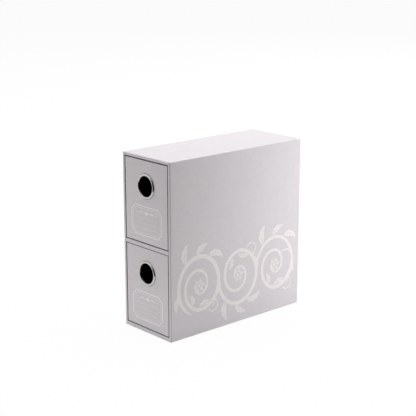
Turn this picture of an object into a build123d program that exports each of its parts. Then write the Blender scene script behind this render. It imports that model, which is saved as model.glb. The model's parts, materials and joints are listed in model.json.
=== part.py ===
from build123d import *

import os

# Card box with two drawers: a greyboard casing and two greyboard trays, each wrapped in paper.
#
# The casing is a box with an open front and a shelf across its middle. A printed paper wraps its
# walls, turns in round the front edges and ends under a base sheet and a back sheet. Each drawer is
# a tray of five boards in its own wrap, with a dark lining and a metal finger ring clinched through
# its front.
#
# Millimetres. X runs across the front, Y from the front to the back, Z up. The origin is on the
# underside, in the middle of the casing's footprint.

# ---------------------------------------------------------------- casing, over its paper
casing_width = 86.0
casing_depth = 213.5
casing_height = 216.0

# ---------------------------------------------------------------- sheet materials
paper = 0.25  # wrap, lining and cover sheets, each with its glue
casing_board = 3.0
floor_board = 4.5  # the casing's bottom and its shelf, which carry the drawers
drawer_board = 2.5
board_edge_bevel = 0.26  # greyboard edges are broken under the paper
fold_radius = 0.7  # outside a fold of the wrap
turn_in = 15.0  # how far a wrap runs on past the edge that it folds round
sheet_inset = 2.0  # bare margin round the base sheet and the back sheet

# ---------------------------------------------------------------- room round a closed drawer
drawer_side_gap = 0.9
drawer_floor_gap = 0.9
upper_drawer_top_gap = 1.1
lower_drawer_top_gap = 0.5
drawer_back_gap = 0.9
drawer_setback = 0.2  # the drawer's face behind the casing's front edge

# ---------------------------------------------------------------- finger ring
ring_throat_radius = 12.0
ring_lip_radius = 1.3  # bend from the barrel to the crown
ring_crown_width = 0.4  # flat top between the lip and the rim
ring_crown_height = 1.5  # over the drawer's face, and the radius of the rim
ring_roll_radius = 0.9  # barrel end, rolled over the washer behind the face
ring_sheet = 0.4
ring_drop = 30.3  # ring's centre below the drawer's rim
ring_hole_clearance = 0.1
washer_thickness = 0.5

# ---------------------------------------------------------------- casing, worked out
front = -casing_depth / 2
back = casing_depth / 2
core_half_width = casing_width / 2 - paper
core_front = front + paper
core_back = back - 2 * paper
core_bottom = 2 * paper
core_top = casing_height - paper
wrap_back = core_back + paper
wrap_bottom = core_bottom - paper
hollow_half_width = core_half_width - casing_board
hollow_back = core_back - casing_board
hollow_bottom = core_bottom + floor_board
hollow_top = core_top - casing_board

# The bays, between papered faces
bay_half_width = hollow_half_width - paper
bay_back = hollow_back - paper
shelf_thickness = floor_board + 2 * paper
lower_bay_floor = hollow_bottom + paper
upper_bay_ceiling = hollow_top - paper
gaps_in_height = 2 * drawer_floor_gap + upper_drawer_top_gap + lower_drawer_top_gap
drawer_height = (upper_bay_ceiling - lower_bay_floor - shelf_thickness - gaps_in_height) / 2
shelf_bottom = lower_bay_floor + drawer_floor_gap + drawer_height + lower_drawer_top_gap
upper_bay_floor = shelf_bottom + shelf_thickness

# ---------------------------------------------------------------- drawer, worked out
# A drawer is drawn with its underside at Z 0 and then placed in its bay.
drawer_half_width = bay_half_width - drawer_side_gap
drawer_front = front + drawer_setback
drawer_back = bay_back - drawer_back_gap
tray_half_width = drawer_half_width - paper
tray_front = drawer_front + paper
tray_back = drawer_back - paper
tray_bottom = paper
tray_top = drawer_height - paper
well_half_width = tray_half_width - drawer_board
well_front = tray_front + drawer_board
well_back = tray_back - drawer_board
well_floor = tray_bottom + drawer_board
lining_top = drawer_height - turn_in

# ---------------------------------------------------------------- finger ring, worked out
ring_height = drawer_height - ring_drop
ring_hole_radius = ring_throat_radius + ring_sheet + ring_hole_clearance
ring_rim_centre = ring_throat_radius + ring_lip_radius + ring_crown_width
ring_outer_radius = ring_rim_centre + ring_crown_height
face_inside = well_front + paper  # papered inner side of the drawer's front
washer_back = face_inside + washer_thickness


def block(half_width, y_from, y_to, z_from, z_to, mode=Mode.ADD):
    """A plain block centred on X, between two depths and two heights."""
    with Locations((0, (y_from + y_to) / 2, (z_from + z_to) / 2)):
        Box(2 * half_width, y_to - y_from, z_to - z_from, mode=mode)


def casing_walls(skin, soften, edge_size):
    """The casing's walls in one piece, grown by a skin over the outside, the front and the hollow.
    Its outer edges and its mouth are softened by a bevel or a fillet of the given size."""
    with BuildPart() as walls:
        block(
            core_half_width + skin,
            core_front - skin,
            core_back + skin,
            core_bottom - skin,
            core_top + skin,
        )
        soften(walls.edges(), edge_size)
        block(
            hollow_half_width - skin,
            core_front - skin,
            hollow_back,
            hollow_bottom + skin,
            hollow_top - skin,
            mode=Mode.SUBTRACT,
        )
        mouth = walls.faces().sort_by(Axis.Y)[0].inner_wires()[0]
        soften(mouth.edges(), edge_size)
    return walls.part


def drawer_walls(skin, soften, edge_size):
    """A drawer's floor and walls in one piece, grown by a skin over the outside, the rim and the well.
    Its outer edges and its rim are softened by a bevel or a fillet of the given size."""
    with BuildPart() as walls:
        block(
            tray_half_width + skin,
            tray_front - skin,
            tray_back + skin,
            tray_bottom - skin,
            tray_top + skin,
        )
        soften(walls.edges(), edge_size)
        block(
            well_half_width - skin,
            well_front + skin,
            well_back - skin,
            well_floor,
            tray_top + skin,
            mode=Mode.SUBTRACT,
        )
        mouth = walls.faces().sort_by(Axis.Z)[-1].inner_wires()[0]
        soften(mouth.edges(), edge_size)
    return walls.part


def bore_finger_hole():
    """The ring's hole through the drawer's front wall, cut in the part being built."""
    face = Plane(origin=(0, drawer_front, ring_height), x_dir=(1, 0, 0), z_dir=(0, -1, 0))
    with Locations(face):
        Hole(ring_hole_radius, depth=face_inside - drawer_front)


# ================================================================ casing boards
casing_core = casing_walls(0, chamfer, board_edge_bevel)

with BuildPart() as casing_top_board:
    add(casing_core)
    split(bisect_by=Plane.XY.offset(hollow_top), keep=Keep.TOP)

with BuildPart() as casing_bottom_board:
    add(casing_core)
    split(bisect_by=Plane.XY.offset(hollow_bottom), keep=Keep.BOTTOM)

with BuildPart() as casing_left_board:
    add(casing_core)
    split(bisect_by=Plane.XY.offset(hollow_top), keep=Keep.BOTTOM)
    split(bisect_by=Plane.XY.offset(hollow_bottom), keep=Keep.TOP)
    split(bisect_by=Plane.YZ.offset(-hollow_half_width), keep=Keep.BOTTOM)

with BuildPart() as casing_right_board:
    add(casing_left_board.part)
    mirror(about=Plane.YZ, mode=Mode.REPLACE)

with BuildPart() as casing_back_board:
    block(hollow_half_width, hollow_back, core_back, hollow_bottom, hollow_top)

# ================================================================ casing papers
with BuildPart() as casing_wrap:
    add(casing_walls(paper, fillet, fold_radius))
    add(casing_core, mode=Mode.SUBTRACT)
    # Inside, the wrap ends where the lining begins.
    block(
        hollow_half_width,
        front + turn_in,
        hollow_back,
        hollow_bottom,
        hollow_top,
        mode=Mode.SUBTRACT,
    )
    # Underneath and behind it only turns over the edges.
    block(
        casing_width / 2 - turn_in,
        front + turn_in,
        wrap_back - turn_in,
        wrap_bottom,
        core_bottom,
        mode=Mode.SUBTRACT,
    )
    block(
        casing_width / 2 - turn_in,
        core_back,
        wrap_back,
        wrap_bottom + turn_in,
        casing_height - turn_in,
        mode=Mode.SUBTRACT,
    )

with BuildPart() as casing_lining:
    block(hollow_half_width, front + turn_in, hollow_back, hollow_bottom, hollow_top)
    block(
        bay_half_width,
        front + turn_in,
        bay_back,
        lower_bay_floor,
        upper_bay_ceiling,
        mode=Mode.SUBTRACT,
    )

with BuildPart() as base_sheet:
    block(
        casing_width / 2 - sheet_inset,
        front + sheet_inset,
        wrap_back - sheet_inset,
        0,
        wrap_bottom,
    )

with BuildPart() as back_sheet:
    block(
        casing_width / 2 - sheet_inset,
        wrap_back,
        back,
        wrap_bottom + sheet_inset,
        casing_height - sheet_inset,
    )

# ================================================================ shelf between the bays
with BuildPart() as shelf_board:
    block(
        bay_half_width,
        core_front,
        bay_back,
        shelf_bottom + paper,
        upper_bay_floor - paper,
    )
    nose = shelf_board.faces().sort_by(Axis.Y)[0]
    chamfer(nose.edges().filter_by(Axis.X), board_edge_bevel)

with BuildPart() as shelf_wrap:
    block(bay_half_width, front, bay_back, shelf_bottom, upper_bay_floor)
    nose = shelf_wrap.faces().sort_by(Axis.Y)[0]
    fillet(nose.edges().filter_by(Axis.X), fold_radius)
    add(shelf_board.part, mode=Mode.SUBTRACT)

# ================================================================ drawer boards
tray_core = drawer_walls(0, chamfer, board_edge_bevel)

with BuildPart() as drawer_bottom_board:
    add(tray_core)
    split(bisect_by=Plane.XY.offset(well_floor), keep=Keep.BOTTOM)

with BuildPart() as drawer_left_board:
    add(tray_core)
    split(bisect_by=Plane.XY.offset(well_floor), keep=Keep.TOP)
    split(bisect_by=Plane.YZ.offset(-well_half_width), keep=Keep.BOTTOM)

with BuildPart() as drawer_right_board:
    add(drawer_left_board.part)
    mirror(about=Plane.YZ, mode=Mode.REPLACE)

with BuildPart() as drawer_end_walls:
    add(tray_core)
    split(bisect_by=Plane.XY.offset(well_floor), keep=Keep.TOP)
    split(bisect_by=Plane.YZ.offset(-well_half_width), keep=Keep.TOP)
    split(bisect_by=Plane.YZ.offset(well_half_width), keep=Keep.BOTTOM)

with BuildPart() as drawer_back_board:
    add(drawer_end_walls.solids().sort_by(Axis.Y)[-1])

with BuildPart() as drawer_front_board:
    add(drawer_end_walls.solids().sort_by(Axis.Y)[0])
    bore_finger_hole()

# ================================================================ drawer papers
with BuildPart() as drawer_wrap:
    add(drawer_walls(paper, fillet, fold_radius))
    add(tray_core, mode=Mode.SUBTRACT)
    # Over the rim it turns down inside and ends where the lining begins.
    block(
        well_half_width,
        well_front,
        well_back,
        well_floor,
        lining_top,
        mode=Mode.SUBTRACT,
    )
    bore_finger_hole()

with BuildPart() as drawer_lining:
    block(well_half_width, well_front, well_back, well_floor, lining_top)
    block(
        well_half_width - paper,
        well_front + paper,
        well_back - paper,
        well_floor + paper,
        lining_top,
        mode=Mode.SUBTRACT,
    )
    bore_finger_hole()

# ================================================================ finger ring
# Both pieces turn about the ring's own axis, which runs along Y through the drawer's face. The
# metal is thin, so each bend is turned in a few short cones.
ring_axis = Axis((0, 0, ring_height), (0, 1, 0))
ring_section = Plane(origin=(0, 0, ring_height), x_dir=(1, 0, 0), z_dir=(0, 0, 1))


def bend(radius_out, depth, radius, start, end, steps):
    """Points along a bend in the ring's section, about a centre, between two angles in degrees."""
    centre = Vector(radius_out, depth)
    angles = [start + (end - start) * step / steps for step in range(steps + 1)]
    return [centre + Vector(radius, 0).rotate(Axis.Z, angle) for angle in angles]


with BuildPart() as finger_ring:
    crown = drawer_front - ring_crown_height
    with BuildSketch(ring_section):
        with BuildLine():
            Polyline(
                # the barrel's end, rolled outwards on to the washer
                *bend(ring_throat_radius + ring_roll_radius, washer_back, ring_roll_radius, 0, 180, 3),
                # the lip, where the barrel turns outwards into the crown
                *bend(
                    ring_throat_radius + ring_lip_radius,
                    crown + ring_lip_radius,
                    ring_lip_radius,
                    180,
                    270,
                    2,
                ),
                # the rim, turned down on to the drawer's face
                *bend(ring_rim_centre, drawer_front, ring_crown_height, 270, 360, 3),
                (ring_throat_radius + ring_sheet, drawer_front),
                (ring_throat_radius + ring_sheet, washer_back),
                close=True,
            )
        make_face()
    revolve(axis=ring_axis)

with BuildPart() as ring_washer:
    with BuildSketch(ring_section):
        with Locations((ring_hole_radius, face_inside)):
            Rectangle(
                ring_outer_radius - ring_hole_radius,
                washer_thickness,
                align=(Align.MIN, Align.MIN),
            )
    revolve(axis=ring_axis)

# ================================================================ writing the pieces
casing_pieces = {
    "casing_top_board": casing_top_board,
    "casing_bottom_board": casing_bottom_board,
    "casing_left_board": casing_left_board,
    "casing_right_board": casing_right_board,
    "casing_back_board": casing_back_board,
    "casing_wrap": casing_wrap,
    "casing_lining": casing_lining,
    "base_sheet": base_sheet,
    "back_sheet": back_sheet,
    "shelf_board": shelf_board,
    "shelf_wrap": shelf_wrap,
}
drawer_pieces = {
    "drawer_bottom_board": drawer_bottom_board,
    "drawer_left_board": drawer_left_board,
    "drawer_right_board": drawer_right_board,
    "drawer_front_board": drawer_front_board,
    "drawer_back_board": drawer_back_board,
    "drawer_wrap": drawer_wrap,
    "drawer_lining": drawer_lining,
    "finger_ring": finger_ring,
    "ring_washer": ring_washer,
}
bay_floors = {"upper": upper_bay_floor, "lower": lower_bay_floor}

os.makedirs("parts", exist_ok=True)
for name, builder in casing_pieces.items():
    builder.part.label = name
    export_step(builder.part, f"parts/{name}.step")
for bay, floor in bay_floors.items():
    closed = Location((0, 0, floor + drawer_floor_gap))
    for name, builder in drawer_pieces.items():
        piece = builder.part.moved(closed)
        piece.label = f"{bay}_{name}"
        export_step(piece, f"parts/{piece.label}.step")
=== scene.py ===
import json
import math

import bmesh
import bpy
from mathutils import Matrix, Vector


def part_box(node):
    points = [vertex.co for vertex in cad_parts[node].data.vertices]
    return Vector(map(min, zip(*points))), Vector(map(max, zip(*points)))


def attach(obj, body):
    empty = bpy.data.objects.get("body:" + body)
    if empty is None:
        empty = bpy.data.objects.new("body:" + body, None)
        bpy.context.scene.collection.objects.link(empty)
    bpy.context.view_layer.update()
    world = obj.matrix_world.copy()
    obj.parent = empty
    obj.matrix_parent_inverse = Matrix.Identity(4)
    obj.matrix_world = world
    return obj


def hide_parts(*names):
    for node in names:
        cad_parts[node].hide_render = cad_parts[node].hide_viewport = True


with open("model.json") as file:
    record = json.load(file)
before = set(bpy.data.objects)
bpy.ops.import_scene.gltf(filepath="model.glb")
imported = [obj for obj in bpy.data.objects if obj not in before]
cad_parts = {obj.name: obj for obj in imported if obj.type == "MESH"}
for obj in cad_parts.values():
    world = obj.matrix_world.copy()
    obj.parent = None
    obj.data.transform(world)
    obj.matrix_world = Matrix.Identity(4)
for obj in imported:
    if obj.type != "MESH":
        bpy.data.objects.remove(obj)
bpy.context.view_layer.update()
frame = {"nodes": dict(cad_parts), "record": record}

MM = 0.001
scene = bpy.context.scene
nodes = frame["nodes"]


# ================================================================ camera
def directions(azimuth, elevation):
    """Right, up and back of a camera that looks at the object from an azimuth and an elevation."""
    turn = math.radians(azimuth)
    rise = math.radians(elevation)
    level = math.cos(rise)
    right = Vector((math.cos(turn), math.sin(turn), 0))
    back = Vector((math.sin(turn) * level, -math.cos(turn) * level, math.sin(rise)))
    return right, back.cross(right), back


box_height = 216.0
view_azimuth = 48.160
view_elevation = 14.667
# The camera's place from the box's middle, in heights of the box. The box sits a little off the
# middle of the picture.
camera_back = 6.264804
camera_left = 0.035023
camera_up = 0.128947

box_middle = Vector((0, 0, box_height / 2 * MM))
view_right, view_up, view_back = directions(view_azimuth, view_elevation)
camera_place = camera_back * view_back - camera_left * view_right + camera_up * view_up
facing = Matrix((view_right, view_up, view_back)).transposed().to_4x4()

camera_data = bpy.data.cameras.new("camera")
camera_data.sensor_width = 36.0
camera_data.lens = 94.60
camera_data.clip_start = 0.01
camera_data.clip_end = 40.0
camera = bpy.data.objects.new("camera", camera_data)
camera.matrix_world = Matrix.Translation(box_middle + box_height * MM * camera_place) @ facing
scene.collection.objects.link(camera)
scene.camera = camera
scene.view_settings.view_transform = "Standard"


# ================================================================ finishes
def colour(hex_code):
    """An sRGB hex code as the linear colour that a socket takes."""
    parts = [int(hex_code[i : i + 2], 16) / 255 for i in (1, 3, 5)]
    linear = [c / 12.92 if c <= 0.04045 else ((c + 0.055) / 1.055) ** 2.4 for c in parts]
    return (*linear, 1.0)


def per_metre(feature_mm):
    """Texture scale at which a pattern's features are this many millimetres apart."""
    return 1 / (feature_mm * MM)


def add_node(tree, kind, inputs, **settings):
    """Adds a node with its settings. Its inputs are values, or other nodes' outputs."""
    node = tree.nodes.new("ShaderNode" + kind)
    for name, value in settings.items():
        setattr(node, name, value)
    for socket, value in inputs.items():
        if isinstance(value, bpy.types.NodeSocket):
            tree.links.new(value, node.inputs[socket])
        else:
            node.inputs[socket].default_value = value
    return node


def new_material(name, displayed):
    """An empty node material, with the colour that it has outside a render."""
    material = bpy.data.materials.new(name)
    material.use_nodes = True
    material.node_tree.nodes.clear()
    material.diffuse_color = colour(displayed)
    return material


def finish_with(tree, shader):
    add_node(tree, "OutputMaterial", {"Surface": shader.outputs[0]})


shade_line_front = 105.75  # how far in front of the box's middle the painted shade line on the sides lies
shade_line_core = 0.2  # from the middle of that line to where it starts to fade
shade_line_edge = 0.55  # and to where it ends
shade_reach = 3.0  # paper with something this near gets painted shade
plain_under = 2.5  # the strip next to the floor gets no painted shade or fold greying up to this height
shaded_over = 4.0


def laminated_art_paper(name, printed, fold_grey_and_shade, painted_shade, edge_shade_depth):
    """Printed art paper under a matt film, wrapped over board: an even, silky surface with a very
    fine tooth, slow waves from the glue line, and folds greyed partly by handling and partly as
    painted shade. Painted shade also darkens a line just behind the front and the gaps between
    papers."""
    material = new_material(name, printed)
    tree = material.node_tree
    place = add_node(tree, "TexCoord", {})
    spot = place.outputs["Object"]
    spot_parts = add_node(tree, "SeparateXYZ", {0: spot})

    # Clouds in the sheet, as paper shows against the light
    clouds = add_node(
        tree,
        "TexNoise",
        {"Vector": spot, "Scale": per_metre(7.0), "Detail": 4.0, "Roughness": 0.6},
    )
    tint = add_node(
        tree,
        "MapRange",
        {
            "Value": clouds.outputs["Fac"],
            "From Min": 0.3,
            "From Max": 0.7,
            "To Min": 0.972,
            "To Max": 1.018,
        },
    )
    clouded = add_node(
        tree, "VectorMath", {0: colour(printed)[:3], "Scale": tint.outputs[0]}, operation="SCALE"
    )

    # A fold is where the surface faces between two of the box's own directions. Folds are greyed,
    # partly as wear from handling and partly as painted shade.
    outward = add_node(tree, "VectorMath", {0: place.outputs["Normal"]}, operation="ABSOLUTE")
    facing_parts = add_node(tree, "SeparateXYZ", {0: outward.outputs[0]})
    wider = add_node(
        tree, "Math", {0: facing_parts.outputs[0], 1: facing_parts.outputs[1]}, operation="MAXIMUM"
    )
    widest = add_node(
        tree, "Math", {0: wider.outputs[0], 1: facing_parts.outputs[2]}, operation="MAXIMUM"
    )
    fold = add_node(
        tree,
        "MapRange",
        {
            "Value": widest.outputs[0],
            "From Min": 0.93,
            "From Max": 0.72,
            "To Min": 0.0,
            "To Max": 1.0,
        },
    )
    handling = add_node(
        tree,
        "TexNoise",
        {"Vector": spot, "Scale": per_metre(3.5), "Detail": 5.0, "Roughness": 0.7},
    )
    handled = add_node(
        tree,
        "MapRange",
        {
            "Value": handling.outputs["Fac"],
            "From Min": 0.4,
            "From Max": 0.66,
            "To Min": 0.1,
            "To Max": 0.7,
        },
    )
    fold_wear_and_shade = add_node(
        tree, "Math", {0: fold.outputs[0], 1: handled.outputs[0]}, operation="MULTIPLY"
    )

    # Painted shade: a dark line on the sides, just behind the front, where the rounded front edge
    # is in shade
    behind_line = add_node(
        tree, "Math", {0: spot_parts.outputs[1], 1: -shade_line_front * MM}, operation="SUBTRACT"
    )
    off_line = add_node(tree, "Math", {0: behind_line.outputs[0]}, operation="ABSOLUTE")
    edge_shade_line = add_node(
        tree,
        "MapRange",
        {
            "Value": off_line.outputs[0],
            "From Min": shade_line_core * MM,
            "From Max": shade_line_edge * MM,
            "To Min": edge_shade_depth,
            "To Max": 0.0,
        },
    )

    # Painted shade: the paper is darkened in the gaps between papers, where shade falls. The foot,
    # next to the floor, gets none.
    hollow = add_node(tree, "AmbientOcclusion", {"Distance": shade_reach * MM}, samples=8)
    gap_shade = add_node(
        tree,
        "MapRange",
        {
            "Value": hollow.outputs["AO"],
            "From Min": 0.45,
            "From Max": 0.88,
            "To Min": 0.97,
            "To Max": 0.0,
        },
    )
    off_floor = add_node(
        tree,
        "MapRange",
        {
            "Value": spot_parts.outputs[2],
            "From Min": plain_under * MM,
            "From Max": shaded_over * MM,
            "To Min": 0.0,
            "To Max": 1.0,
        },
    )
    gap_shade_share = add_node(
        tree, "Math", {0: gap_shade.outputs[0], 1: off_floor.outputs[0]}, operation="MULTIPLY"
    )
    wear_and_shade = add_node(
        tree, "Math", {0: fold_wear_and_shade.outputs[0], 1: off_floor.outputs[0]}, operation="MULTIPLY"
    )

    worn_and_shaded_paper = add_node(
        tree,
        "Mix",
        {0: wear_and_shade.outputs[0], 6: clouded.outputs[0], 7: colour(fold_grey_and_shade)},
        data_type="RGBA",
    )
    edge_shaded_paper = add_node(
        tree,
        "Mix",
        {0: edge_shade_line.outputs[0], 6: worn_and_shaded_paper.outputs[2], 7: colour(painted_shade)},
        data_type="RGBA",
    )
    gap_shaded_paper = add_node(
        tree,
        "Mix",
        {0: gap_shade_share.outputs[0], 6: edge_shaded_paper.outputs[2], 7: colour(painted_shade)},
        data_type="RGBA",
    )

    # The glue line's waves, and the film's tooth: about 0.1 mm, drawn at 0.45 mm so that it shows
    waves = add_node(tree, "TexNoise", {"Vector": spot, "Scale": per_metre(22.0), "Detail": 2.0})
    tooth = add_node(
        tree,
        "TexNoise",
        {"Vector": spot, "Scale": per_metre(0.45), "Detail": 3.0, "Roughness": 0.65},
    )
    gloss = add_node(
        tree,
        "MapRange",
        {
            "Value": waves.outputs["Fac"],
            "From Min": 0.3,
            "From Max": 0.7,
            "To Min": 0.46,
            "To Max": 0.56,
        },
    )
    wavy = add_node(
        tree, "Bump", {"Height": waves.outputs["Fac"], "Strength": 0.35, "Distance": 0.15 * MM}
    )
    toothed = add_node(
        tree,
        "Bump",
        {
            "Height": tooth.outputs["Fac"],
            "Strength": 0.25,
            "Distance": 0.02 * MM,
            "Normal": wavy.outputs[0],
        },
    )
    shader = add_node(
        tree,
        "BsdfPrincipled",
        {
            "Base Color": gap_shaded_paper.outputs[2],
            "Roughness": gloss.outputs[0],
            "IOR": 1.49,
            "Normal": toothed.outputs[0],
        },
    )
    finish_with(tree, shader)
    return material


def pearl_ink(name, solid, thin):
    """Screen-printed pearl white on the film: a little paler and smoother than the paper, with the
    faint mottle of ink that levelled as it dried."""
    material = new_material(name, solid)
    tree = material.node_tree
    place = add_node(tree, "TexCoord", {})
    spot = place.outputs["Object"]
    mottle = add_node(
        tree,
        "TexNoise",
        {"Vector": spot, "Scale": per_metre(2.6), "Detail": 5.0, "Roughness": 0.62},
    )
    cover = add_node(
        tree,
        "MapRange",
        {
            "Value": mottle.outputs["Fac"],
            "From Min": 0.35,
            "From Max": 0.62,
            "To Min": 0.0,
            "To Max": 1.0,
        },
    )
    ink_colour = add_node(
        tree,
        "Mix",
        {0: cover.outputs[0], 6: colour(thin), 7: colour(solid)},
        data_type="RGBA",
    )
    mesh_marks = add_node(tree, "TexVoronoi", {"Vector": spot, "Scale": per_metre(0.4)})
    grain = add_node(
        tree,
        "Bump",
        {"Height": mesh_marks.outputs["Distance"], "Strength": 0.2, "Distance": 0.01 * MM},
    )
    gloss = add_node(
        tree,
        "MapRange",
        {
            "Value": mottle.outputs["Fac"],
            "From Min": 0.3,
            "From Max": 0.7,
            "To Min": 0.36,
            "To Max": 0.48,
        },
    )
    shader = add_node(
        tree,
        "BsdfPrincipled",
        {
            "Base Color": ink_colour.outputs[2],
            "Roughness": gloss.outputs[0],
            "IOR": 1.52,
            "Normal": grain.outputs[0],
        },
    )
    finish_with(tree, shader)
    return material


def black_uncoated_paper(name, dyed, fibre):
    """Dyed lining paper with no coating: dull, with loose fibres that catch the light."""
    material = new_material(name, dyed)
    tree = material.node_tree
    place = add_node(tree, "TexCoord", {})
    # Fibres about 2 mm long, stretched along the paper's machine direction
    machine = add_node(
        tree, "Mapping", {"Vector": place.outputs["Object"], "Scale": (1.0, 0.25, 1.0)}
    )
    fibres = add_node(
        tree,
        "TexNoise",
        {"Vector": machine.outputs[0], "Scale": per_metre(0.5), "Detail": 6.0, "Roughness": 0.75},
    )
    light_fibres = add_node(
        tree,
        "MapRange",
        {
            "Value": fibres.outputs["Fac"],
            "From Min": 0.52,
            "From Max": 0.72,
            "To Min": 0.0,
            "To Max": 1.0,
        },
    )
    lining_colour = add_node(
        tree,
        "Mix",
        {0: light_fibres.outputs[0], 6: colour(dyed), 7: colour(fibre)},
        data_type="RGBA",
    )
    nap = add_node(
        tree, "Bump", {"Height": fibres.outputs["Fac"], "Strength": 0.5, "Distance": 0.06 * MM}
    )
    shader = add_node(
        tree,
        "BsdfPrincipled",
        {
            "Base Color": lining_colour.outputs[2],
            "Roughness": 0.92,
            "IOR": 1.45,
            "Normal": nap.outputs[0],
        },
    )
    finish_with(tree, shader)
    return material


def greyboard(name, pulp, fleck):
    """Board pressed from waste paper: grey-brown, with flecks and a rough felt side."""
    material = new_material(name, pulp)
    tree = material.node_tree
    place = add_node(tree, "TexCoord", {})
    spot = place.outputs["Object"]
    felt = add_node(
        tree,
        "TexNoise",
        {"Vector": spot, "Scale": per_metre(1.2), "Detail": 6.0, "Roughness": 0.7},
    )
    flecks = add_node(
        tree, "TexVoronoi", {"Vector": spot, "Scale": per_metre(3.0), "Randomness": 1.0}
    )
    fleck_spots = add_node(
        tree,
        "MapRange",
        {
            "Value": flecks.outputs["Distance"],
            "From Min": 0.12,
            "From Max": 0.2,
            "To Min": 1.0,
            "To Max": 0.0,
        },
    )
    fleck_share = add_node(
        tree, "Math", {0: fleck_spots.outputs[0], 1: felt.outputs["Fac"]}, operation="MULTIPLY"
    )
    board_colour = add_node(
        tree,
        "Mix",
        {0: fleck_share.outputs[0], 6: colour(pulp), 7: colour(fleck)},
        data_type="RGBA",
    )
    roughened = add_node(
        tree, "Bump", {"Height": felt.outputs["Fac"], "Strength": 0.6, "Distance": 0.1 * MM}
    )
    shader = add_node(
        tree,
        "BsdfPrincipled",
        {
            "Base Color": board_colour.outputs[2],
            "Roughness": 0.9,
            "IOR": 1.45,
            "Normal": roughened.outputs[0],
        },
    )
    finish_with(tree, shader)
    return material


ring_width = 30.4
throat_shade_reach = 12.4  # painted shade darkens the throat's metal out to this radius
bright_crown = 12.9  # and the plating shows its own colour from this one
polish_lines = 100.0  # to a ring's width: lines of 0.05 mm, drawn 0.3 mm apart so that they show


def plated_steel(name, plating, dulled, throat_shade_colour, smoothest, roughest):
    """Pressed steel under a thin plating: bright, with the fine rings that polishing in a lathe
    leaves round its axis, and a breath of dulling where it has been handled."""
    material = new_material(name, plating)
    tree = material.node_tree
    place = add_node(tree, "TexCoord", {})
    # Distance from the ring's axis, in widths of the ring
    centred = add_node(
        tree,
        "VectorMath",
        {0: place.outputs["Generated"], 1: (0.5, 0.5, 0.5)},
        operation="SUBTRACT",
    )
    flat = add_node(
        tree, "VectorMath", {0: centred.outputs[0], 1: (1.0, 0.0, 1.0)}, operation="MULTIPLY"
    )
    radius = add_node(tree, "VectorMath", {0: flat.outputs[0]}, operation="LENGTH")
    lines = add_node(
        tree,
        "TexNoise",
        {"W": radius.outputs["Value"], "Scale": polish_lines, "Detail": 3.0},
        noise_dimensions="1D",
    )
    handling = add_node(
        tree,
        "TexNoise",
        {
            "Vector": place.outputs["Object"],
            "Scale": per_metre(4.0),
            "Detail": 5.0,
            "Roughness": 0.6,
        },
    )
    dulling = add_node(
        tree,
        "MapRange",
        {
            "Value": handling.outputs["Fac"],
            "From Min": 0.45,
            "From Max": 0.7,
            "To Min": 0.0,
            "To Max": 0.5,
        },
    )
    handled_plating = add_node(
        tree,
        "Mix",
        {0: dulling.outputs[0], 6: colour(plating), 7: colour(dulled)},
        data_type="RGBA",
    )
    # Painted shade: the metal is darkened down the throat, where the hole is in shade
    throat = add_node(
        tree,
        "MapRange",
        {
            "Value": radius.outputs["Value"],
            "From Min": throat_shade_reach / ring_width,
            "From Max": bright_crown / ring_width,
            "To Min": 1.0,
            "To Max": 0.0,
        },
    )
    metal_colour = add_node(
        tree,
        "Mix",
        {0: throat.outputs[0], 6: handled_plating.outputs[2], 7: colour(throat_shade_colour)},
        data_type="RGBA",
    )
    gloss = add_node(
        tree,
        "MapRange",
        {
            "Value": handling.outputs["Fac"],
            "From Min": 0.3,
            "From Max": 0.7,
            "To Min": smoothest,
            "To Max": roughest,
        },
    )
    turned = add_node(
        tree, "Bump", {"Height": lines.outputs["Fac"], "Strength": 0.12, "Distance": 0.02 * MM}
    )
    shader = add_node(
        tree,
        "BsdfPrincipled",
        {
            "Base Color": metal_colour.outputs[2],
            "Metallic": 1.0,
            "Roughness": gloss.outputs[0],
            "Normal": turned.outputs[0],
        },
    )
    finish_with(tree, shader)
    return material


# The folds' grey is partly wear and partly painted shade. The dark colour is painted shade, for
# the gaps and the line behind the front.
paper_colours = {"printed": "#D0CBCE", "fold_grey_and_shade": "#B4AFB1", "painted_shade": "#353233"}
side_ink = pearl_ink("pearl_screen_ink", solid="#E7E1E1", thin="#E0DBDB")
label_ink = pearl_ink("pearl_label_ink", solid="#EDE6E7", thin="#E6E0E1")
ring_plating = plated_steel(
    "nickel_plated_steel",
    plating="#C2BFBC",
    dulled="#A8A5A2",
    throat_shade_colour="#454341",
    smoothest=0.08,
    roughest=0.15,
)
# The washer's colour is alike all over, with no painted shade in its throat.
washer_plating = plated_steel(
    "zinc_plated_steel",
    plating="#A9ABAD",
    dulled="#8F9193",
    throat_shade_colour="#A9ABAD",
    smoothest=0.28,
    roughest=0.42,
)

# Of the ring metal only the washers keep the solid's shape. The rings are made further down.
finishes = {
    "greyboard": greyboard("pressed_greyboard", pulp="#8C867C", fleck="#5E5A54"),
    "casing_paper": laminated_art_paper(
        "laminated_casing_paper", **paper_colours, edge_shade_depth=0.38
    ),
    "drawer_paper": laminated_art_paper(
        "laminated_drawer_paper", **paper_colours, edge_shade_depth=0.12
    ),
    "lining_paper": black_uncoated_paper("black_lining_paper", dyed="#19191B", fibre="#2B2B2E"),
    "ring_metal": washer_plating,
}
for subpart in frame["record"]["subparts"]:
    for material_slot in nodes[subpart["node"]].material_slots:
        material_slot.link = "OBJECT"
        material_slot.material = finishes[subpart["material_slot"]]


# ================================================================ shapes
def arc(middle, radius, start, end, steps):
    """Points along an arc, from one angle to another."""
    points = []
    for i in range(steps + 1):
        angle = math.radians(start + (end - start) * i / steps)
        points.append(
            Vector((middle[0] + radius * math.cos(angle), middle[1] + radius * math.sin(angle)))
        )
    return points


def normals_along(path):
    """Unit vectors to the left of a path, at each of its points."""
    sides = []
    last = len(path) - 1
    for i in range(len(path)):
        ahead = path[min(i + 1, last)] - path[max(i - 1, 0)]
        sides.append(Vector((-ahead.y, ahead.x)).normalized())
    return sides


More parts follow.
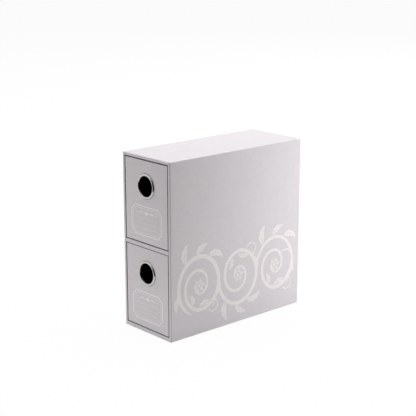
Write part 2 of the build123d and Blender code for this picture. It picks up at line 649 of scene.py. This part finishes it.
def make_piece(name, shape, material):
    """Turns a finished bmesh into an object of the scene."""
    bmesh.ops.recalc_face_normals(shape, faces=shape.faces)
    mesh = bpy.data.meshes.new(name)
    shape.to_mesh(mesh)
    shape.free()
    mesh.materials.append(material)
    piece = bpy.data.objects.new(name, mesh)
    scene.collection.objects.link(piece)
    return piece


# ================================================================ prints
# A print is a thin film of ink. It is drawn in strips, each between two edges with the same number
# of points, in millimetres across and up the face that it is on.
ink_sunk = 0.02  # the film's underside, inside the paper
ink_height = 0.03
ink_spread = 0.05  # strips that cross lie at different heights within this
ink_step = 0.618  # how far through that spread the next strip lies
finest_line = 0.12
leaf_edge = 0.08  # the least half width of a leaf
disc_split = 0.02  # holds the two halves of a dot's edge apart at its ends


def print_film(name, strips, place, ink, body):
    """Makes strips into one closed film. place(across, up, out) gives the point of the face."""
    film = bmesh.new()
    for number, (edge_a, edge_b) in enumerate(strips):
        heights = (-ink_sunk, ink_height + ink_spread * (ink_step * number % 1))
        rows = [
            [film.verts.new(place(across, up, out)) for across, up in edge]
            for edge in (edge_a, edge_b)
            for out in heights
        ]
        under_a, over_a, under_b, over_b = rows
        for i in range(len(edge_a) - 1):
            j = i + 1
            film.faces.new((over_a[i], over_a[j], over_b[j], over_b[i]))
            film.faces.new((under_a[i], under_b[i], under_b[j], under_a[j]))
            film.faces.new((under_a[i], under_a[j], over_a[j], over_a[i]))
            film.faces.new((under_b[i], over_b[i], over_b[j], under_b[j]))
        for end in (0, -1):
            film.faces.new((under_a[end], over_a[end], over_b[end], under_b[end]))
    piece = make_piece(name, film, ink)
    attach(piece, body)


def stroke(path, widths):
    """A strip of changing width along a path."""
    sides = normals_along(path)
    edge_a = [point + side * width / 2 for point, side, width in zip(path, sides, widths)]
    edge_b = [point - side * width / 2 for point, side, width in zip(path, sides, widths)]
    return edge_a, edge_b


def leaf(path, width, lobes, rib_gap=0.7):
    """A lobed leaf along its midrib: two strips with a gap between them for the rib."""
    sides = normals_along(path)
    last = len(path) - 1
    halves = []
    for hand in (1, -1):
        inner = []
        outer = []
        for i, (point, side) in enumerate(zip(path, sides)):
            t = i / last
            swell = math.sin(math.pi * t**0.8) ** 0.9 if 0 < t < 1 else 0.0
            scallop = 0.70 + 0.30 * abs(math.sin(lobes * math.pi * t))
            gap = rib_gap / 2 * (1 - t)
            reach = gap + leaf_edge + width / 2 * swell * scallop
            inner.append(point + side * hand * gap)
            outer.append(point + side * hand * reach)
        halves.append((inner, outer))
    return halves


def disc(centre, radius, points=17):
    """A dot, as a strip between its two half circles."""
    edges = []
    for hand in (1, -1):
        edge = []
        for i in range(points):
            angle = math.pi * i / (points - 1)
            rise = hand * (radius * math.sin(angle) + disc_split)
            edge.append(centre + Vector((-radius * math.cos(angle), rise)))
        edges.append(edge)
    return edges[0], edges[1]


def bent_line(start, heading, length, turn, points=28):
    """A path that starts at a point with a heading and turns evenly along its length."""
    path = [Vector(start)]
    step = length / (points - 1)
    for i in range(points - 1):
        angle = math.radians(heading + turn * (i + 0.5) / (points - 1))
        path.append(path[-1] + step * Vector((math.cos(angle), math.sin(angle))))
    return path


def taper(count, root, middle, tip):
    """Widths that swell from the root to the middle of a stroke and run out to its tip."""
    widths = []
    for i in range(count):
        t = i / (count - 1)
        swell = math.sin(math.pi * t)
        width = root * (1 - t) + tip * t + (middle - (root + tip) / 2) * swell
        widths.append(max(width, finest_line))
    return widths


# ================================================================ scrollwork on the right side
# A running scroll: one stem waves along the side, over one whorl and under the next, and a branch
# winds into each whorl and ends in a flower.
whorl_middle_up = 61.0
whorl_half_width = 31.5
whorl_half_height = 36.0
whorl_middles = (44.0, 107.0, 170.0)
stem_width = 5.4
stem_thinning = 0.12  # share of its width that the stem loses at each whorl
stem_steps = 40
branch_width = (5.2, 2.0)  # where it leaves the stem, and at the flower
branch_winding = 560
branch_end = 0.17  # share of the whorl's size at which the branch ends
branch_steps = 90
flower_eye = 2.0
flower_petals = 6
petal_root = 2.9  # from the flower's middle
petal_length = 6.2
petal_width = 4.2
petal_bend = 28
calyx_width = 6.0

# Leaves of the stem's crest, then of the branch. Each has the angle and the share of the whorl's
# size where it grows, its heading, length and turn, its width and its number of lobes.
whorl_leaves = (
    (128, 1.06, 118, 26, -70, 9.0, 4),
    (96, 1.07, 62, 22, -60, 8.0, 4),
    (62, 1.08, 30, 25, -95, 8.5, 4),
    (-52, 0.86, 150, 19, 80, 6.5, 3),
    (-118, 0.72, 64, 16, 90, 6.0, 3),
)
calyx_leaves = ((-78, 20, -50), (-104, 17, 58))  # heading, length, turn
berries = ((0.0, 1.9), (3.9, 1.5), (7.1, 1.1))  # distance below the tendril's tip, radius

side_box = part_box("casing_wrap")
side_x = side_box[1].x
side_front = side_box[0].y


def on_right_side(across, up, out):
    return Vector((side_x + out * MM, side_front + across * MM, up * MM))


def whorl_point(middle, angle, size):
    """A point of a whorl's oval, at an angle and at a share of its full size."""
    turn = math.radians(angle)
    across = middle + whorl_half_width * size * math.cos(turn)
    up = whorl_middle_up + whorl_half_height * size * math.sin(turn)
    return Vector((across, up))


scroll = []
for number, middle in enumerate(whorl_middles):
    # The stem passes over the first whorl, under the second and over the third.
    over = 1 if number % 2 == 0 else -1
    stem = [
        whorl_point(middle, over * (180 - 180 * i / stem_steps), 1.0)
        for i in range(stem_steps + 1)
    ]
    width = stem_width * (1.0 - stem_thinning * number)
    scroll.append(stroke(stem, [width] * len(stem)))

    # The branch goes on round the whorl, winding inwards.
    winding = [i / branch_steps for i in range(branch_steps + 1)]
    branch = [
        whorl_point(
            middle, -over * branch_winding * t, branch_end + (1 - branch_end) * (1 - t) ** 1.25
        )
        for t in winding
    ]
    thick, thin = branch_width
    scroll.append(stroke(branch, [thick - (thick - thin) * t for t in winding]))

    # The flower at the whorl's middle
    eye = Vector((middle, whorl_middle_up))
    scroll.append(disc(eye, flower_eye))
    for petal in range(flower_petals):
        heading = 360 / flower_petals * (petal + 0.25)
        outwards = Vector((math.cos(math.radians(heading)), math.sin(math.radians(heading))))
        root = eye + petal_root * outwards
        midrib = bent_line(root, heading - petal_bend / 2, petal_length, petal_bend, points=15)
        scroll.extend(leaf(midrib, petal_width, lobes=1, rib_gap=0.4))

    for angle, size, heading, length, turn, width, lobes in whorl_leaves:
        root = whorl_point(middle, over * angle, size)
        midrib = bent_line(root, over * heading, length, over * turn)
        scroll.extend(leaf(midrib, width, lobes))

    # A calyx where the branch leaves the stem
    root = whorl_point(middle, 0, 1.0)
    for heading, length, turn in calyx_leaves:
        midrib = bent_line(root, over * heading, length, over * turn)
        scroll.extend(leaf(midrib, calyx_width, lobes=3))

    # A tendril with three berries in the corner that the stem leaves free
    root = whorl_point(middle, over * -62, 1.04)
    tendril = bent_line(root, heading=over * -58, length=27, turn=over * 205, points=36)
    scroll.append(stroke(tendril, taper(len(tendril), root=2.2, middle=1.7, tip=0.9)))
    for below, radius in berries:
        step = over * -below
        scroll.append(disc(tendril[-1] + Vector((step * 0.55, step)), radius))

# The stem's root, at the front, and its last tendril, at the back
root = whorl_point(whorl_middles[0], 180, 1.0)
stem_root = bent_line(root, heading=-92, length=40, turn=62)
scroll.append(stroke(stem_root, taper(len(stem_root), root=stem_width, middle=5.0, tip=1.2)))
midrib = bent_line(root + Vector((-0.5, -8)), heading=-128, length=19, turn=60)
scroll.extend(leaf(midrib, width=7.0, lobes=4))
root = whorl_point(whorl_middles[-1], 0, 1.0)
last_tendril = bent_line(root, heading=78, length=34, turn=150, points=40)
scroll.append(stroke(last_tendril, taper(len(last_tendril), root=3.6, middle=2.4, tip=1.0)))
scroll.append(disc(last_tendril[-1], radius=1.9))

print_film("side_scrollwork", scroll, on_right_side, side_ink, "casing")

# ================================================================ index labels on the drawers
label_half_width = 27.5
label_half_height = 17.5
label_middle_up = 26.8  # over the drawer's underside
corner_scoop = 5.0
outer_line = 1.4
inner_line = 0.6
inner_line_inset = 2.6
rule_rows = (-9.0, -3.0, 3.0)
rule_half_length = 19.0
rule_width = 0.5
ornament_up = 9.5
lozenge_half_width = 4.2
lozenge_height = 4.6
lozenge_point = 0.15
tail_across = 6.0
dot_across = 18.2
dot_radius = 0.9


def scooped_frame(half_width, half_height, scoop, line):
    """The outline of a plate with hollow corners, as strips of a line's width."""
    path = []
    for right, top, start in ((1, 1, -90), (-1, 1, 0), (-1, -1, 90), (1, -1, 180)):
        path.extend(arc((right * half_width, top * half_height), scoop, start, start - 90, 8))
    path.append(path[0].copy())
    return stroke(path, [line] * len(path))


def index_label():
    """A double frame with three ruled lines, and over them a lozenge between two tails."""
    inner_half_width = label_half_width - inner_line_inset
    inner_half_height = label_half_height - inner_line_inset
    strips = [
        scooped_frame(label_half_width, label_half_height, corner_scoop, outer_line),
        scooped_frame(inner_half_width, inner_half_height, corner_scoop, inner_line),
    ]
    for up in rule_rows:
        rule = [Vector((across, up)) for across in (-rule_half_length, rule_half_length)]
        strips.append(stroke(rule, [rule_width, rule_width]))
    lozenge = [
        Vector((across, ornament_up)) for across in (-lozenge_half_width, 0.0, lozenge_half_width)
    ]
    strips.append(stroke(lozenge, [lozenge_point, lozenge_height, lozenge_point]))
    for hand in (1, -1):
        outwards = 90 - 90 * hand
        root = Vector((hand * tail_across, ornament_up))
        tail = bent_line(root, outwards + hand * 24, length=10.5, turn=-hand * 70, points=20)
        strips.append(stroke(tail, taper(len(tail), root=1.3, middle=1.5, tip=0.3)))
        strips.append(disc(Vector((hand * dot_across, ornament_up)), dot_radius))
    return strips


def on_drawer_face(corner):
    """Gives the place function of the face whose lowest front corner this is."""

    def place(across, up, out):
        rise = (label_middle_up + up) * MM
        return Vector((across * MM, corner.y - out * MM, corner.z + rise))

    return place


for bay in ("upper", "lower"):
    face = on_drawer_face(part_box(f"{bay}_drawer_wrap")[0])
    print_film(
        f"{bay}_index_label", index_label(), face, label_ink, f"{bay}_drawer"
    )

# ================================================================ finger rings
# Each ring is one sheet of metal: a crown on the drawer's face, turned down at its rim, a barrel
# through the face, and the barrel's end split and rolled over a washer.
ring_throat = 12.0
ring_lip = 1.6
ring_rim = 1.5
rim_end = 358  # the angle at which the rim's edge ends, just short of the face
ring_sheet = 0.4
ring_steps = 144
roll_radius = 0.9
roll_tip = 10  # the angle at which the roll's edge ends
roll_splits = 8
split_cut = 80  # how much of the roll's angle a split takes
split_half_width = 0.09  # as a share of the roll from one split to the next


def ring_section(split, crown_height, rim_middle, washer_back):
    """Outer side of the metal, from the roll behind the washer to the rim on the face, as radius
    and distance behind the drawer's face. split is how far the roll is cut away, from 0 to 1."""
    roll_end = roll_tip + split_cut * split
    roll = arc((ring_throat + roll_radius, washer_back), roll_radius, roll_end, 180, 12)
    lip = arc((ring_throat + ring_lip, ring_lip - crown_height), ring_lip, 180, 270, 10)
    rim = arc((rim_middle, 0), ring_rim, 270, rim_end, 12)
    return roll + lip + rim


def thicken(section, sheet):
    """A closed outline round a section: the section, and back along its other side, a sheet's
    thickness in."""
    sides = normals_along(section)
    inner = [point + side * sheet for point, side in zip(section, sides)]
    return section + inner[::-1]


for bay in ("upper", "lower"):
    low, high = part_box(f"{bay}_finger_ring")
    face_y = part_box(f"{bay}_drawer_wrap")[0].y
    axis_up = (low.z + high.z) / 2
    crown_height = (face_y - low.y) / MM
    rim_middle = (high.z - low.z) / 2 / MM - ring_rim
    washer_back = (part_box(f"{bay}_ring_washer")[1].y - face_y) / MM

    metal = bmesh.new()
    loops = []
    for step in range(ring_steps):
        turn = 2 * math.pi * step / ring_steps
        along_roll = (step * roll_splits / ring_steps) % 1.0
        split = max(0.0, 1 - abs(along_roll - 0.5) / split_half_width)
        section = ring_section(split, crown_height, rim_middle, washer_back)
        loop = []
        for radius, behind in thicken(section, ring_sheet):
            across = radius * math.cos(turn) * MM
            up = axis_up + radius * math.sin(turn) * MM
            loop.append(metal.verts.new((across, face_y + behind * MM, up)))
        loops.append(loop)
    for step, here in enumerate(loops):
        there = loops[(step + 1) % ring_steps]
        for i in range(len(here)):
            j = (i + 1) % len(here)
            metal.faces.new((here[i], here[j], there[j], there[i]))
    ring = make_piece(f"{bay}_rolled_ring", metal, ring_plating)
    ring.data.shade_smooth()
    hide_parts(f"{bay}_finger_ring")
    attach(ring, f"{bay}_drawer")


# ================================================================ studio
room_light = 0.14  # how strongly the room lights the box
room_seen = 1.0  # share of plain white that the room shows, whatever lights it
floor_seen = 0.955  # and that the floor shows. The lamps add the rest.
floor_size = 14


def seen_share(tree, share):
    """This share for what the camera sees, straight or through gloss or glass, and 0 otherwise."""
    path = add_node(tree, "LightPath", {})
    looked_at = add_node(
        tree,
        "Math",
        {0: path.outputs["Is Camera Ray"], 1: path.outputs["Is Glossy Ray"]},
        operation="MAXIMUM",
    )
    seen = add_node(
        tree,
        "Math",
        {0: looked_at.outputs[0], 1: path.outputs["Is Transmission Ray"]},
        operation="MAXIMUM",
    )
    return add_node(tree, "Math", {0: seen.outputs[0], 1: share}, operation="MULTIPLY")


room = bpy.data.worlds.new("white_room")
room.use_nodes = True
room_tree = room.node_tree
room_tree.nodes.clear()
room_lit = add_node(
    room_tree, "Background", {"Color": colour("#FFFFFF"), "Strength": room_light}
)
room_white = add_node(room_tree, "Background", {"Color": colour("#FFFFFF"), "Strength": 1.0})
room_share = seen_share(room_tree, room_seen)
room_mix = add_node(
    room_tree,
    "MixShader",
    {0: room_share.outputs[0], 1: room_lit.outputs[0], 2: room_white.outputs[0]},
)
add_node(room_tree, "OutputWorld", {"Surface": room_mix.outputs[0]})
scene.world = room

# The floor looks white, and the box's shadow still dims it a little.
floor_paper = new_material("white_studio_floor", "#F0F0F0")
floor_tree = floor_paper.node_tree
floor_matt = add_node(floor_tree, "BsdfDiffuse", {"Color": colour("#E8E8E8")})
floor_white = add_node(floor_tree, "Emission", {"Color": colour("#FFFFFF"), "Strength": 1.0})
floor_share = seen_share(floor_tree, floor_seen)
floor_mix = add_node(
    floor_tree,
    "MixShader",
    {0: floor_share.outputs[0], 1: floor_matt.outputs[0], 2: floor_white.outputs[0]},
)
finish_with(floor_tree, floor_mix)


def studio_sheet(name, width, height, place, material):
    """A flat sheet that is part of the studio."""
    mesh = bpy.data.meshes.new(name)
    corners = [(-1, -1), (1, -1), (1, 1), (-1, 1)]
    mesh.from_pydata([(x * width / 2, y * height / 2, 0) for x, y in corners], [], [(0, 1, 2, 3)])
    mesh.materials.append(material)
    sheet = bpy.data.objects.new(name, mesh)
    sheet.matrix_world = place
    scene.collection.objects.link(sheet)
    return sheet


studio_sheet("studio_floor", floor_size, floor_size, Matrix.Identity(4), floor_paper)

# The studio is dark on the camera's side: a black cloth hangs behind the camera and lies on the
# floor under it, and the rings mirror it. It casts no shadow of its own on the white floor.
flag_cloth = new_material("black_flag_cloth", "#050505")
flag_matt = add_node(flag_cloth.node_tree, "BsdfDiffuse", {"Color": colour("#050505")})
finish_with(flag_cloth.node_tree, flag_matt)
cloth_azimuth = view_azimuth - 10
cloth_near = 0.33
cloth_far = 1.75
cloth_width = 4.4
cloth_height = 2.0
cloth_off_floor = 0.002
cloth_right, world_up, cloth_ward = directions(cloth_azimuth, 0)
hanging = Matrix((cloth_right, world_up, cloth_ward)).transposed().to_4x4()
hanging.translation = cloth_far * cloth_ward + cloth_height / 2 * world_up
lying = Matrix((cloth_right, -cloth_ward, world_up)).transposed().to_4x4()
lying.translation = (cloth_near + cloth_far) / 2 * cloth_ward + cloth_off_floor * world_up
for cloth in (
    studio_sheet("hanging_cloth", cloth_width, cloth_height, hanging, flag_cloth),
    studio_sheet("lying_cloth", cloth_width, cloth_far - cloth_near, lying, flag_cloth),
):
    cloth.visible_camera = False
    cloth.visible_shadow = False


def soft_light(name, place, aim, width, height, watts, spread=180.0):
    """A rectangular soft light at a place, facing a point. A grid on it narrows its spread."""
    light = bpy.data.lights.new(name, "AREA")
    light.shape = "RECTANGLE"
    light.size = width
    light.size_y = height
    light.energy = watts
    light.spread = math.radians(spread)
    lamp = bpy.data.objects.new(name, light)
    lamp.location = place
    lamp.rotation_euler = (Vector(place) - Vector(aim)).to_track_quat("Z", "Y").to_euler()
    lamp.visible_camera = False
    lamp.visible_glossy = False
    scene.collection.objects.link(lamp)


soft_light(
    "overhead_light",
    place=(0.0, 0.9, 1.6),
    aim=(0, 0, 0.1),
    width=4.2,
    height=4.2,
    watts=95.0,
)
soft_light(
    "left_light",
    place=(-1.2, -1.6, 0.75),
    aim=(0, 0, 0.1),
    width=3.0,
    height=2.2,
    watts=36.0,
)
soft_light(
    "rear_side_light",
    place=(0.50, 0.27, 0.12),
    aim=(0.04, 0.23, 0.11),
    width=0.3,
    height=0.6,
    watts=0.69,
    spread=80.0,
)
